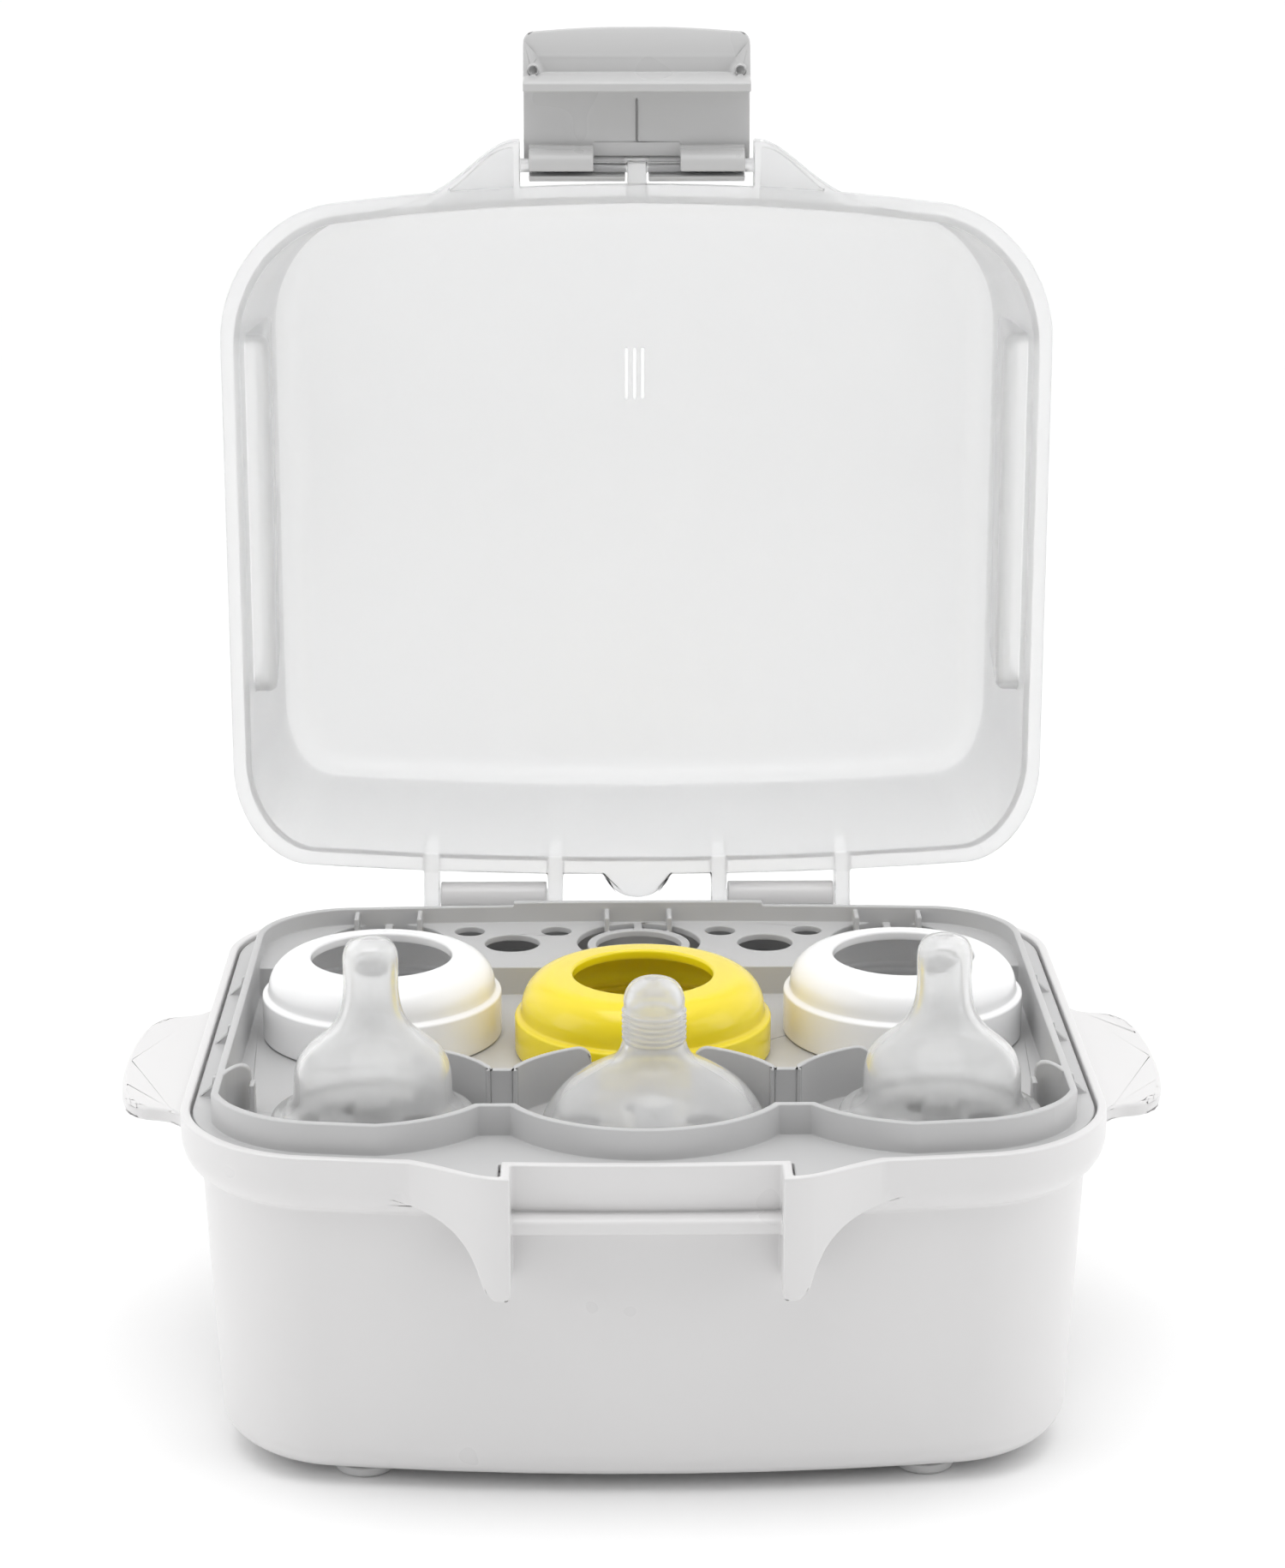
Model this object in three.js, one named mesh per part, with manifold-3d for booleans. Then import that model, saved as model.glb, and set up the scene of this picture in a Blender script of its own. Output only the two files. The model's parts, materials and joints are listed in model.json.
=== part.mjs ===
// Baby bottle steam sterilizer for a microwave oven: a water tub with two carrying tabs, a lift-out
// tray, a frosted lid on two rear hinges and a front latch, shown open and loaded with bottle parts.
// Millimetres, +Z up. The front of the object faces -Y and the lid's hinge lies along X at the back.
import * as THREE from 'three';
import { mergeVertices } from 'three/addons/utils/BufferGeometryUtils.js';
import Module from 'manifold-3d';

const wasm = await Module();
wasm.setup();

// ---------- driving dimensions ----------
const GAP = 0.3;                      // smallest clearance between two pieces

// Outline family of the tub, tray and lid: straight sides, a bowed front and back, round corners.
const BODY = { halfWidth: 120, front: -103, rear: 103, frontCorner: [33, 34], rearCorner: [24, 28],
               frontBow: 6, rearBow: 3.5 };
const LID = { halfWidth: 121, front: -104.3, rear: 103, frontCorner: [33, 36], rearCorner: [22, 29],
              frontBow: 5.5, rearBow: 3.5 };
const TRAY = { halfWidth: 111, front: -79.6, rear: 91, frontCorner: [26, 26], rearCorner: [25, 25],
               frontBow: 0.5, rearBow: 2.5 };

const FOOT = { x: 73, y: 75, radius: 8, height: 3, stud: 3, studDepth: 1.4 };
const TUB_BOTTOM = FOOT.height;       // underside of the tub
const TUB_FLOOR = 3.4;                // thickness of the tub's floor
const TUB_WALL = 2.2;
const RIM_Z = 94.3;                   // top of the tub's rim
const RIM_WALL = 2.4;                 // thickness of the rim above the tray ledge
const LEDGE_Z = 91;                   // ledge that carries the tray's flange
const LEDGE_INSET = 6.2;              // inner edge of the ledge, from the rim's outer face
const SKIRT_Z = 78.5;                 // where the flared skirt under the rim meets the wall
const SKIRT_INSET = 5.1;
const TUB_DRAFT = 0.048;              // wall lean, as run over rise
const TUB_FILLET = 9;
const HANDLE = { reach: 141.5, root: 50, z: 81.5, thickness: 4 };

const POCKET_X = 33.7;                // half the gap between the two ears that flank the latch
const EAR_FRONT = -112;               // foremost face of the tub's ears
const EAR_TIP_Z = 61.5;
const EAR_WALL = 2.2;
const RIDGE = { top: 81, bottom: 76.6, front: -105.6 };

const HINGE = { y: 110.6, z: 98, barrel: 4.4, bore: 2.35, pin: 2, inner: 27.5, outer: 59.5,
                lug: 5, lugInner: 22.5, lugOuter: 64.5 };
const LID_Z = RIM_Z + GAP;            // underside of the closed lid's flange
const LID_FLANGE = 2;
const LID_FLANGE_WIDTH = 3.7;
const LID_WALL = 1.9;
const LID_TOP = 168.6;
const LID_FILLET = 11;
const LID_TAPER = 0.075;
const LID_EAR = { front: -116.4, height: 10, wall: 1.8 };
const SCOOP = { front: -58, rear: 46, low: 104, top: 150, foot: 109.5, head: 113 };
const LATCH = { y: -109.4, z: 97.4, halfWidth: 32.5, shaft: 1.95, bore: 2.3, barrel: 4.6, reach: 38.5,
                hookTop: 76.2, hookBottom: 72.9, hookTip: -103.4, plate: 1.9, clipInner: 12.5,
                barrelInner: 3.4, clipOuter: 31 };

const TRAY_WALL = 2;
const TRAY_REACH = 5.4;               // how far inside the tub's outline the tray's wall stays
const TRAY_TOP = 101.5;
const FLANGE = 2;                     // thickness of the tray's flange
const FLOOR_Z = 86;                   // underside of the tray's floor
const FLOOR_TOP = 88;
const CELL = { pitch: 74, y: -64.2, a: 36.3, b: 31.4, land: 4, dividerY: -52.6 };
const BACK_CELL = { y: 15.6, radius: 36.5 };
const SHELF = { front: 46.5, top: 96.5, thickness: 2 };

const COLLARS = [
  { name: 'collar_left', x: -72, y: 15.6, radius: 33.2, colour: '#f4f4f5' },
  { name: 'collar_middle', x: 0.4, y: 1.5, radius: 35, colour: '#f8dc00' },
  { name: 'collar_right', x: 73, y: 15.6, radius: 33.2, colour: '#f4f4f5' },
];
const COLLAR_HEIGHT = 24;
const COLLAR_WALL = 2;
const COLLAR_OPENING = 19.3;
const TEATS = [
  { name: 'teat_left', x: -70, y: -61.5, wide: false },
  { name: 'teat_middle', x: 2.5, y: -63, wide: true },
  { name: 'teat_right', x: 77, y: -60.6, wide: false },
];
const PEG = { radius: 5, top: 96 };

// ---------- materials ----------
function plastic(color, roughness, opacity = 1) {
  return new THREE.MeshStandardMaterial({ color, roughness, metalness: 0, opacity,
    transparent: opacity < 1 });
}
const WHITE = plastic('#eeeeee', 0.3);
const GREY = plastic('#a9abad', 0.4);
const FROSTED = plastic('#e6e8ea', 0.45, 0.85);
const LATCH_GREY = plastic('#bfc1c3', 0.3);
const RUBBER = plastic('#d9d9d9', 0.7);
const SILICONE = plastic('#e8eaea', 0.25, 0.8);

// ---------- geometry helpers ----------
// Closed outline of the body family, counter-clockwise from above, moved inwards by inset.
function outline(shape, inset = 0, steps = 7) {
  const { halfWidth, front, rear, frontCorner, rearCorner, frontBow, rearBow } = shape;
  const width = halfWidth - inset;
  const near = front + inset;
  const far = rear - inset;
  const points = [];
  const edge = (y, bow, corner, sign) => {
    const shrink = Math.min(inset * 0.6, corner[0] - 12);
    const cornerX = corner[0] - shrink;
    const cornerY = corner[1] - shrink;
    const out = Math.sign(y);
    const flat = width - cornerX;
    const slope = 2 * bow / flat;
    const startY = y - out * bow;
    const kappa = 0.55;
    const straight = new THREE.QuadraticBezierCurve(new THREE.Vector2(-sign * flat, startY),
      new THREE.Vector2(0, y + out * bow), new THREE.Vector2(sign * flat, startY));
    const bend = (s) => new THREE.CubicBezierCurve(
      new THREE.Vector2(s * flat, startY),
      new THREE.Vector2(s * (flat + kappa * cornerX), startY - out * slope * kappa * cornerX),
      new THREE.Vector2(s * width, startY - out * (1 - kappa) * cornerY - out * slope * cornerX),
      new THREE.Vector2(s * width, startY - out * (cornerY + slope * cornerX)));
    points.push(...bend(-sign).getPoints(steps).reverse().slice(0, -1));
    points.push(...straight.getPoints(steps + 1).slice(0, -1));
    points.push(...bend(sign).getPoints(steps));
  };
  edge(near, frontBow, frontCorner, 1);
  edge(far, rearBow, rearCorner, -1);
  return points;
}

function toManifold(geometry) {
  const bare = geometry.index ? geometry.toNonIndexed() : geometry.clone();
  bare.deleteAttribute('normal');
  bare.deleteAttribute('uv');
  const merged = mergeVertices(bare, 1e-4);
  const mesh = new wasm.Mesh({ numProp: 3,
    vertProperties: new Float32Array(merged.attributes.position.array),
    triVerts: new Uint32Array(merged.index.array) });
  return new wasm.Manifold(mesh);
}

// Solid through a stack of outlines with equal point counts; rings are [points, z] from low to high.
function loft(rings) {
  const count = rings[0][0].length;
  const positions = rings.flatMap(([points, z]) => points.flatMap((p) => [p.x, p.y, z]));
  const index = [];
  for (let ring = 0; ring < rings.length - 1; ring += 1) {
    for (let i = 0; i < count; i += 1) {
      const a = ring * count + i;
      const b = ring * count + (i + 1) % count;
      index.push(a, b, b + count, a, b + count, a + count);
    }
  }
  const last = (rings.length - 1) * count;
  for (const [a, b, c] of THREE.ShapeUtils.triangulateShape(rings[0][0], [])) {
    index.push(a, c, b);
    index.push(last + a, last + b, last + c);
  }
  const geometry = new THREE.BufferGeometry();
  geometry.setAttribute('position', new THREE.Float32BufferAttribute(positions, 3));
  geometry.setIndex(index);
  return toManifold(geometry);
}

function extrude(points, depth) {
  const shape = new THREE.Shape(points.map(([x, y]) => new THREE.Vector2(x, y)));
  return new THREE.ExtrudeGeometry(shape, { depth, bevelEnabled: false, curveSegments: 12 });
}
const prismZ = (points, z0, z1) => toManifold(extrude(points, z1 - z0).translate(0, 0, z0));
// Points are [y, z]; the prism runs along X.
function prismX(points, x0, x1) {
  const turned = extrude(points, x1 - x0).applyMatrix4(new THREE.Matrix4().makeBasis(
    new THREE.Vector3(0, 1, 0), new THREE.Vector3(0, 0, 1), new THREE.Vector3(1, 0, 0)));
  return toManifold(turned.translate(x0, 0, 0));
}
// Points are [x, z]; the prism runs along Y.
function prismY(points, y0, y1) {
  const turned = extrude(points, y1 - y0).applyMatrix4(new THREE.Matrix4().makeBasis(
    new THREE.Vector3(1, 0, 0), new THREE.Vector3(0, 0, 1), new THREE.Vector3(0, -1, 0)));
  return toManifold(turned.translate(0, y1, 0));
}
function box(x0, x1, y0, y1, z0, z1) {
  return toManifold(new THREE.BoxGeometry(x1 - x0, y1 - y0, z1 - z0)
    .translate((x0 + x1) / 2, (y0 + y1) / 2, (z0 + z1) / 2));
}
function drum(radius, x, y, z0, z1, sides = 28) {
  return toManifold(new THREE.CylinderGeometry(radius, radius, z1 - z0, sides)
    .rotateX(Math.PI / 2).translate(x, y, (z0 + z1) / 2));
}
function rod(radius, x0, x1, y, z, sides = 24) {
  return toManifold(new THREE.CylinderGeometry(radius, radius, x1 - x0, sides)
    .rotateZ(Math.PI / 2).translate((x0 + x1) / 2, y, z));
}
function ellipseDrum(a, b, x, y, z0, z1, sides = 48) {
  return toManifold(new THREE.CylinderGeometry(1, 1, z1 - z0, sides)
    .rotateX(Math.PI / 2).scale(a, b, 1).translate(x, y, (z0 + z1) / 2));
}
// Profile points are [radius, z] and close on themselves or end on the axis.
function lathe(profile, segments = 40) {
  const points = profile.map(([r, z]) => new THREE.Vector2(r, z));
  return toManifold(new THREE.LatheGeometry(points, segments).rotateX(Math.PI / 2));
}
const both = (make) => make(1).add(make(-1));
const mirrored = (points) => points.map(([x, y]) => [-x, y]).reverse();
const handed = (points, side) => (side > 0 ? points : mirrored(points));

function node(name, manifold, material, origin = [0, 0, 0]) {
  const mesh = manifold.getMesh();
  const geometry = new THREE.BufferGeometry();
  geometry.setAttribute('position', new THREE.Float32BufferAttribute(mesh.vertProperties, 3));
  geometry.setIndex(Array.from(mesh.triVerts));
  geometry.translate(-origin[0], -origin[1], -origin[2]);
  const result = new THREE.Mesh(geometry, material);
  result.name = name;
  return result;
}

// ---------- tub ----------
const draftInset = (z) => SKIRT_INSET + (SKIRT_Z - z) * TUB_DRAFT;
function bowl(bottom, fillet, extra) {
  const rings = [];
  for (let i = 0; i <= 5; i += 1) {
    const turn = (i / 5) * Math.PI / 2;
    const z = bottom + fillet * (1 - Math.cos(turn));
    const inset = draftInset(z) + extra + fillet * (1 - Math.sin(turn));
    rings.push([outline(BODY, inset), z]);
  }
  return rings;
}

// Plan of an ear: a bulge that leaves the rim smoothly and ends square at the latch pocket.
function earPlan(front, back, side, shrink = 0) {
  const curve = new THREE.CubicBezierCurve(
    new THREE.Vector2(POCKET_X + shrink, front + shrink), new THREE.Vector2(45, front + shrink),
    new THREE.Vector2(50, -101 + shrink), new THREE.Vector2(72 - shrink, -96.6 + shrink));
  const points = curve.getPoints(9).map((p) => [p.x, p.y]);
  return handed([...points, [72 - shrink, back], [POCKET_X + shrink, back]], side);
}
function tubEar(side) {
  const fang = new THREE.CubicBezierCurve(new THREE.Vector2(40.5, EAR_TIP_Z + 3),
    new THREE.Vector2(44, 76), new THREE.Vector2(47, 83), new THREE.Vector2(72, 84.5));
  const face = handed([[POCKET_X, RIM_Z], [POCKET_X, EAR_TIP_Z + 2], [POCKET_X + 1.5, EAR_TIP_Z],
    [38, EAR_TIP_Z], ...fang.getPoints(9).map((p) => [p.x, p.y]), [72, RIM_Z]], -side);
  const skin = prismZ(earPlan(EAR_FRONT, -92, side), EAR_TIP_Z, RIM_Z)
    .intersect(prismY(handed(face, -1), -115, -90));
  const hollow = prismZ(earPlan(EAR_FRONT, -92, side, EAR_WALL), EAR_TIP_Z - 1, LEDGE_Z - EAR_WALL);
  return skin.subtract(hollow);
}
// The rim's rebate runs on into each ear, so that the tray's flange can fill it.
const earRebate = (side) => prismZ(earPlan(EAR_FRONT, -92, side, RIM_WALL), LEDGE_Z, RIM_Z + 1);
function tubHandle(side) {
  const { root, reach, z, thickness } = HANDLE;
  const flare = new THREE.CubicBezierCurve(new THREE.Vector2(119.5, root), new THREE.Vector2(121, root - 9),
    new THREE.Vector2(125, root - 12), new THREE.Vector2(131, root - 13));
  const tip = new THREE.CubicBezierCurve(new THREE.Vector2(131, root - 13),
    new THREE.Vector2(137.5, root - 14.5), new THREE.Vector2(reach, root - 22), new THREE.Vector2(reach, 0));
  const half = [...flare.getPoints(5), ...tip.getPoints(9).slice(1)].map((p) => [p.x, p.y]);
  const lower = half.slice(0, -1).reverse().map(([x, y]) => [x, -y]);
  const plan = handed([...half, ...lower, [114, -root], [114, root]].reverse(), side);
  return prismZ(plan, z, z + thickness);
}
function hingeBracket(side) {
  const low = HINGE.z - 12;
  const profile = [[100.5, low], [HINGE.y - 1, HINGE.z - HINGE.barrel], [HINGE.y, HINGE.z],
    [103, RIM_Z - GAP], [100.5, RIM_Z - GAP]];
  const x0 = side > 0 ? HINGE.inner : -HINGE.outer;
  const x1 = side > 0 ? HINGE.outer : -HINGE.inner;
  const bores = rod(HINGE.bore, x0 - 1, x0 + 7, HINGE.y, HINGE.z)
    .add(rod(HINGE.bore, x1 - 7, x1 + 1, HINGE.y, HINGE.z));
  return prismX(profile, x0, x1).add(rod(HINGE.barrel, x0, x1, HINGE.y, HINGE.z)).subtract(bores);
}
function baseTub() {
  const outer = loft([...bowl(TUB_BOTTOM, TUB_FILLET, 0), [outline(BODY, SKIRT_INSET), SKIRT_Z],
    [outline(BODY, 3.6), 80.5], [outline(BODY, 1.6), 84], [outline(BODY, 0.4), 88],
    [outline(BODY, 0), RIM_Z]]);
  const inner = loft([...bowl(TUB_BOTTOM + TUB_FLOOR, TUB_FILLET - TUB_WALL, TUB_WALL),
    [outline(BODY, SKIRT_INSET + TUB_WALL), SKIRT_Z], [outline(BODY, LEDGE_INSET), LEDGE_Z - 3],
    [outline(BODY, LEDGE_INSET), RIM_Z + 1]]);
  const rebate = loft([[outline(BODY, RIM_WALL), LEDGE_Z], [outline(BODY, RIM_WALL), RIM_Z + 1]]);
  const ridge = prismX([[-95, RIDGE.bottom], [RIDGE.front + 0.6, RIDGE.bottom],
    [RIDGE.front, RIDGE.bottom + 1], [RIDGE.front, RIDGE.top - 1.6], [-103.6, RIDGE.top], [-95, RIDGE.top]],
    -POCKET_X - 1, POCKET_X + 1);
  let tub = outer.add(ridge).add(both(tubEar)).add(both(tubHandle)).add(both(hingeBracket));
  tub = tub.subtract(inner).subtract(rebate).subtract(both(earRebate));
  for (const x of [-FOOT.x, FOOT.x]) {
    for (const y of [-FOOT.y, FOOT.y]) {
      tub = tub.subtract(drum(FOOT.stud + GAP, x, y, TUB_BOTTOM - 1, TUB_BOTTOM + FOOT.studDepth + GAP));
    }
  }
  return tub;
}
function foot(x, y) {
  return lathe([[0, 0], [FOOT.radius - 0.8, 0], [FOOT.radius, 0.8], [FOOT.radius, FOOT.height - GAP],
    [FOOT.stud, FOOT.height - GAP], [FOOT.stud, FOOT.height + FOOT.studDepth],
    [0, FOOT.height + FOOT.studDepth]], 28).translate(x, y, 0);
}

// ---------- tray ----------
const CELLS = [-CELL.pitch, 0, CELL.pitch];
function trayPrism(grow, z0, z1) {
  const inset = TRAY_WALL - grow;
  let region = loft([[outline(TRAY, inset), z0], [outline(TRAY, inset), z1]]);
  for (const x of CELLS) {
    const limit = box(-TRAY.halfWidth + inset, TRAY.halfWidth - inset, -120, 0, z0, z1);
    region = region.add(ellipseDrum(CELL.a + grow, CELL.b + grow, x, CELL.y, z0, z1).intersect(limit));
  }
  const rim = outline(BODY, TRAY_REACH + inset);
  region = region.intersect(loft([[rim, z0 - 1], [rim, z1 + 1]]));
  const seat = LEDGE_Z + GAP;
  if (z0 > seat) {
    return region;
  }
  const fit = outline(BODY, LEDGE_INSET + 0.8 + inset);
  const outside = box(-130, 130, -130, 130, z0 - 1, seat).subtract(loft([[fit, z0 - 2], [fit, seat + 1]]));
  return region.subtract(outside);
}
// Low walls behind the front cells: a flat land at each cell boundary with two curved wings.
function trayDividers() {
  const wall = 1.6;
  let walls = null;
  for (const x of CELLS) {
    const ring = ellipseDrum(CELL.a + wall, CELL.b + wall, x, CELL.y, FLOOR_Z, TRAY_TOP)
      .subtract(ellipseDrum(CELL.a, CELL.b, x, CELL.y, FLOOR_Z - 1, TRAY_TOP + 1));
    const keep = [];
    for (const side of [-1, 1]) {
      const boundary = x + side * CELL.pitch / 2;
      if (Math.abs(boundary) < CELL.pitch) {
        keep.push([x + side * 13.7, x + side * 34.2]);
      } else {
        keep.push([x + side * 29, x + side * 35.5]);
      }
    }
    for (const [from, to] of keep) {
      const window = box(Math.min(from, to), Math.max(from, to), CELL.y + 8, 0, FLOOR_Z, TRAY_TOP);
      const wing = ring.intersect(window);
      walls = walls ? walls.add(wing) : wing;
    }
  }
  for (const x of [-CELL.pitch / 2, CELL.pitch / 2]) {
    walls = walls.add(box(x - CELL.land, x + CELL.land, CELL.dividerY - wall / 2,
      CELL.dividerY + wall / 2 + 0.4, FLOOR_Z, TRAY_TOP));
  }
  return walls;
}
function trayShelf() {
  const { front, top, thickness } = SHELF;
  const region = trayPrism(1, FLOOR_TOP - 0.5, top);
  const cut = (grow, z0, z1) => {
    let hollow = box(-130, 130, -130, front + grow, z0, z1);
    for (const x of CELLS) {
      hollow = hollow.add(drum(BACK_CELL.radius + grow, x, BACK_CELL.y, z0, z1, 40));
    }
    return hollow;
  };
  const block = region.subtract(cut(0, 0, 130));
  const underside = block.subtract(cut(TRAY_WALL, 0, 130)).intersect(
    box(-130, 130, 0, 130, 0, top - thickness));
  let shelf = block.subtract(underside);
  for (const x of CELLS) {
    const ring = drum(15, x, 68, 90, top).subtract(drum(12.4, x, 68, 89, top + 1));
    const spokes = box(x - 1.2, x + 1.2, 49, 88, top - thickness, top);
    shelf = shelf.subtract(drum(18, x, 70, 90, top + 1, 32)
      .intersect(box(x - 20, x + 20, 54, 100, 90, top + 1)));
    shelf = shelf.add(spokes.subtract(drum(12.4, x, 68, 89, top + 1)))
      .add(ring.intersect(box(x - 20, x + 20, 40, 100, top - thickness, top)));
    for (const fin of [-9.25, 9.25]) {
      shelf = shelf.add(box(x + fin - 0.7, x + fin + 0.7, 80, 90, top - thickness, TRAY_TOP - 1));
    }
  }
  for (const x of [-CELL.pitch / 2, CELL.pitch / 2]) {
    shelf = shelf.subtract(drum(8, x, 69, 90, top + 1));
    for (const small of [-12.8, 12.8]) {
      shelf = shelf.subtract(drum(4.4, x + small, 80.5, 90, top + 1, 16));
    }
  }
  return shelf;
}
function accessoryTray() {
  const flangeEdge = outline(BODY, RIM_WALL + 2 * GAP);
  const flange = loft([[flangeEdge, LEDGE_Z + GAP], [flangeEdge, LEDGE_Z + GAP + FLANGE]]);
  const lobe = (side) => prismZ(earPlan(EAR_FRONT, -92, side, RIM_WALL + 2 * GAP),
    LEDGE_Z + GAP, LEDGE_Z + GAP + FLANGE);
  const crest = trayPrism(TRAY_WALL, 99, TRAY_TOP + 1.2).intersect(box(-37, 37, 80, 95, 98, 104));
  let tray = trayPrism(TRAY_WALL, FLOOR_Z, TRAY_TOP).add(flange).add(both(lobe)).add(crest);
  tray = tray.subtract(trayPrism(0, FLOOR_TOP, TRAY_TOP + 2));
  tray = tray.add(trayDividers()).add(trayShelf());
  for (const side of [-1, 1]) {
    for (const y of [-50, -9, 32]) {
      const gusset = [[side * 110.5, 93], [side * 116, 93], [side * 110.5, 98.5]];
      tray = tray.add(prismY(side > 0 ? gusset : gusset.reverse(), y - 0.7, y + 0.7));
    }
  }
  for (const x of CELLS) {
    for (const turn of [0, 1, 2, 3, 4, 5]) {
      const angle = (turn + 0.5) * Math.PI / 3;
      tray = tray.subtract(drum(5.5, x + 19 * Math.cos(angle), CELL.y + 19 * Math.sin(angle),
        FLOOR_Z - 1, FLOOR_TOP + 1, 16));
      tray = tray.subtract(drum(5, x + 21 * Math.cos(angle), BACK_CELL.y + 21 * Math.sin(angle),
        FLOOR_Z - 1, FLOOR_TOP + 1, 16));
    }
    tray = tray.subtract(drum(11, x, BACK_CELL.y, FLOOR_Z - 1, FLOOR_TOP + 1, 28));
  }
  for (const teat of TEATS) {
    tray = tray.add(drum(PEG.radius, teat.x, teat.y, FLOOR_Z, PEG.top, 20));
  }
  return tray;
}

// ---------- lid, drawn closed ----------
function lidBell(extra, floor, top) {
  const taper = (z) => (z - LID_Z) * LID_TAPER;
  const fillet = LID_FILLET - extra;
  const base = LID_FLANGE_WIDTH + extra;
  const rings = [[outline(LID, base + taper(floor)), floor]];
  const shoulder = top - fillet;
  for (let i = 0; i <= 5; i += 1) {
    const turn = (i / 5) * Math.PI / 2;
    rings.push([outline(LID, base + taper(shoulder) + fillet * (1 - Math.cos(turn))),
      shoulder + fillet * Math.sin(turn)]);
  }
  return loft(rings);
}
function lidScoop(grow, side) {
  const points = [[SCOOP.foot - grow, SCOOP.low - grow], [130, SCOOP.low - grow],
    [130, SCOOP.top + grow], [SCOOP.head - grow, SCOOP.top + grow]];
  return prismY(handed(points, side), SCOOP.front - grow, SCOOP.rear + grow);
}
function lidEar(side) {
  const { front, height, wall } = LID_EAR;
  const shell = prismZ(earPlan(front, -92, side), LID_Z, LID_Z + height);
  return shell.subtract(prismZ(earPlan(front, -92, side, wall), LID_Z - 1, LID_Z + height - wall));
}
function hingeLug(x0, x1) {
  const { y, z, lug } = HINGE;
  const arc = [];
  for (let i = 0; i <= 10; i += 1) {
    const angle = -Math.PI * 0.62 + (i / 10) * Math.PI * 1.12;
    arc.push([y + lug * Math.cos(angle), z + lug * Math.sin(angle)]);
  }
  return prismX([...arc, [100, z + 12], [97.5, z + 12], [97.5, LID_Z], [102.4, LID_Z]], x0, x1);
}
function lidShell() {
  const flange = loft([[outline(LID, 0), LID_Z], [outline(LID, 0), LID_Z + LID_FLANGE]]);
  let cavity = lidBell(LID_WALL, LID_Z - 1, LID_TOP - LID_WALL);
  let outside = flange.add(lidBell(0, LID_Z, LID_TOP));
  for (const side of [-1, 1]) {
    cavity = cavity.subtract(lidScoop(LID_WALL, side));
    outside = outside.subtract(lidScoop(0, side));
  }
  const tab = drum(10.8, 0, LID.rear - 3.6, LID_Z, LID_Z + LID_FLANGE, 32);
  let lid = outside.add(both(lidEar)).add(tab);
  const lugs = [[HINGE.lugInner, HINGE.inner - 0.5], [HINGE.outer + 0.5, HINGE.lugOuter]];
  for (const [x0, x1] of lugs) {
    lid = lid.add(hingeLug(x0, x1)).add(hingeLug(-x1, -x0));
  }
  const { y, z, pin, inner, outer } = HINGE;
  for (const side of [-1, 1]) {
    const spans = [[side * (inner - 1), side * (inner + 6)], [side * (outer + 1), side * (outer - 6)]];
    for (const [from, to] of spans) {
      lid = lid.add(rod(pin, Math.min(from, to), Math.max(from, to), y, z));
    }
  }
  const rib = prismX([[LATCH.y - 1, LATCH.z + 1.9], [LATCH.y - 1, LATCH.z - 1.9], [-100, LID_Z],
    [-98.6, LID_Z + 12]], -2.7, 2.7);
  lid = lid.add(rod(LATCH.shaft, -POCKET_X - 1, POCKET_X + 1, LATCH.y, LATCH.z)).add(rib);
  for (const x of [-2.5, 0, 2.5]) {
    lid = lid.subtract(box(x - 0.5, x + 0.5, -46, -30, LID_TOP - 4, LID_TOP + 1));
  }
  return lid.subtract(cavity);
}

// ---------- latch, drawn closed ----------
function frontLatch() {
  const { y, z, halfWidth, barrel, bore, reach, plate, clipInner, barrelInner, clipOuter } = LATCH;
  const face = y - barrel;
  const end = z - reach;
  const outerFace = new THREE.CubicBezierCurve(new THREE.Vector2(face, 80),
    new THREE.Vector2(face, 70), new THREE.Vector2(face - 0.5, 66), new THREE.Vector2(face - 4, end));
  const outside = outerFace.getPoints(8).map((p) => [p.x, p.y]);
  const inside = outside.map(([py, pz]) => [py + plate, pz]).reverse();
  const skin = prismX([[face, z], ...outside, ...inside, [face + plate, z]], -halfWidth, halfWidth);
  const top = new THREE.QuadraticBezierCurve(new THREE.Vector2(-halfWidth, end + 1.4),
    new THREE.Vector2(0, end - 1.4), new THREE.Vector2(halfWidth, end + 1.4)).getPoints(10)
    .map((p) => [p.x, p.y]);
  const trim = prismY([...top, [halfWidth, z + 10], [-halfWidth, z + 10]], -130, -90);
  const hook = prismX([[face + 1, LATCH.hookTop], [face + 1, LATCH.hookBottom - 1.5],
    [LATCH.hookTip - 1.2, LATCH.hookBottom], [LATCH.hookTip, LATCH.hookBottom + 1],
    [LATCH.hookTip, LATCH.hookTop]], -halfWidth, halfWidth);
  let latch = skin.add(hook).intersect(trim);
  for (const side of [-1, 1]) {
    const span = (from, to) => [Math.min(side * from, side * to), Math.max(side * from, side * to)];
    const [clip0, clip1] = span(clipInner, clipOuter);
    const [low0, low1] = span(barrelInner, clipOuter);
    const clip = rod(barrel, clip0, clip1, y, z).add(box(clip0, clip1, face, y, z - 5.5, z));
    const lip = rod(barrel, low0, low1, y, z).intersect(box(low0, low1, y - 5, y + 5, z + 2.6, z + 6));
    const bridge = rod(barrel, low0, low1, y, z).intersect(box(low0, low1, face, y - 2.6, z - 6, z + 6));
    const mouth = box(clip0 - 1, clip1 + 1, y, y + 6, z - 1.7, z + 1.7);
    latch = latch.add(clip.subtract(mouth)).add(lip).add(bridge);
    const web = [[face + 1, end + 4], [face + 1, LATCH.hookBottom], [face + 6, LATCH.hookBottom]];
    const [web0, web1] = span(halfWidth - 1.6, halfWidth);
    latch = latch.add(prismX(web, web0, web1));
  }
  return latch.subtract(rod(bore, -halfWidth - 1, halfWidth + 1, y, z));
}

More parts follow.
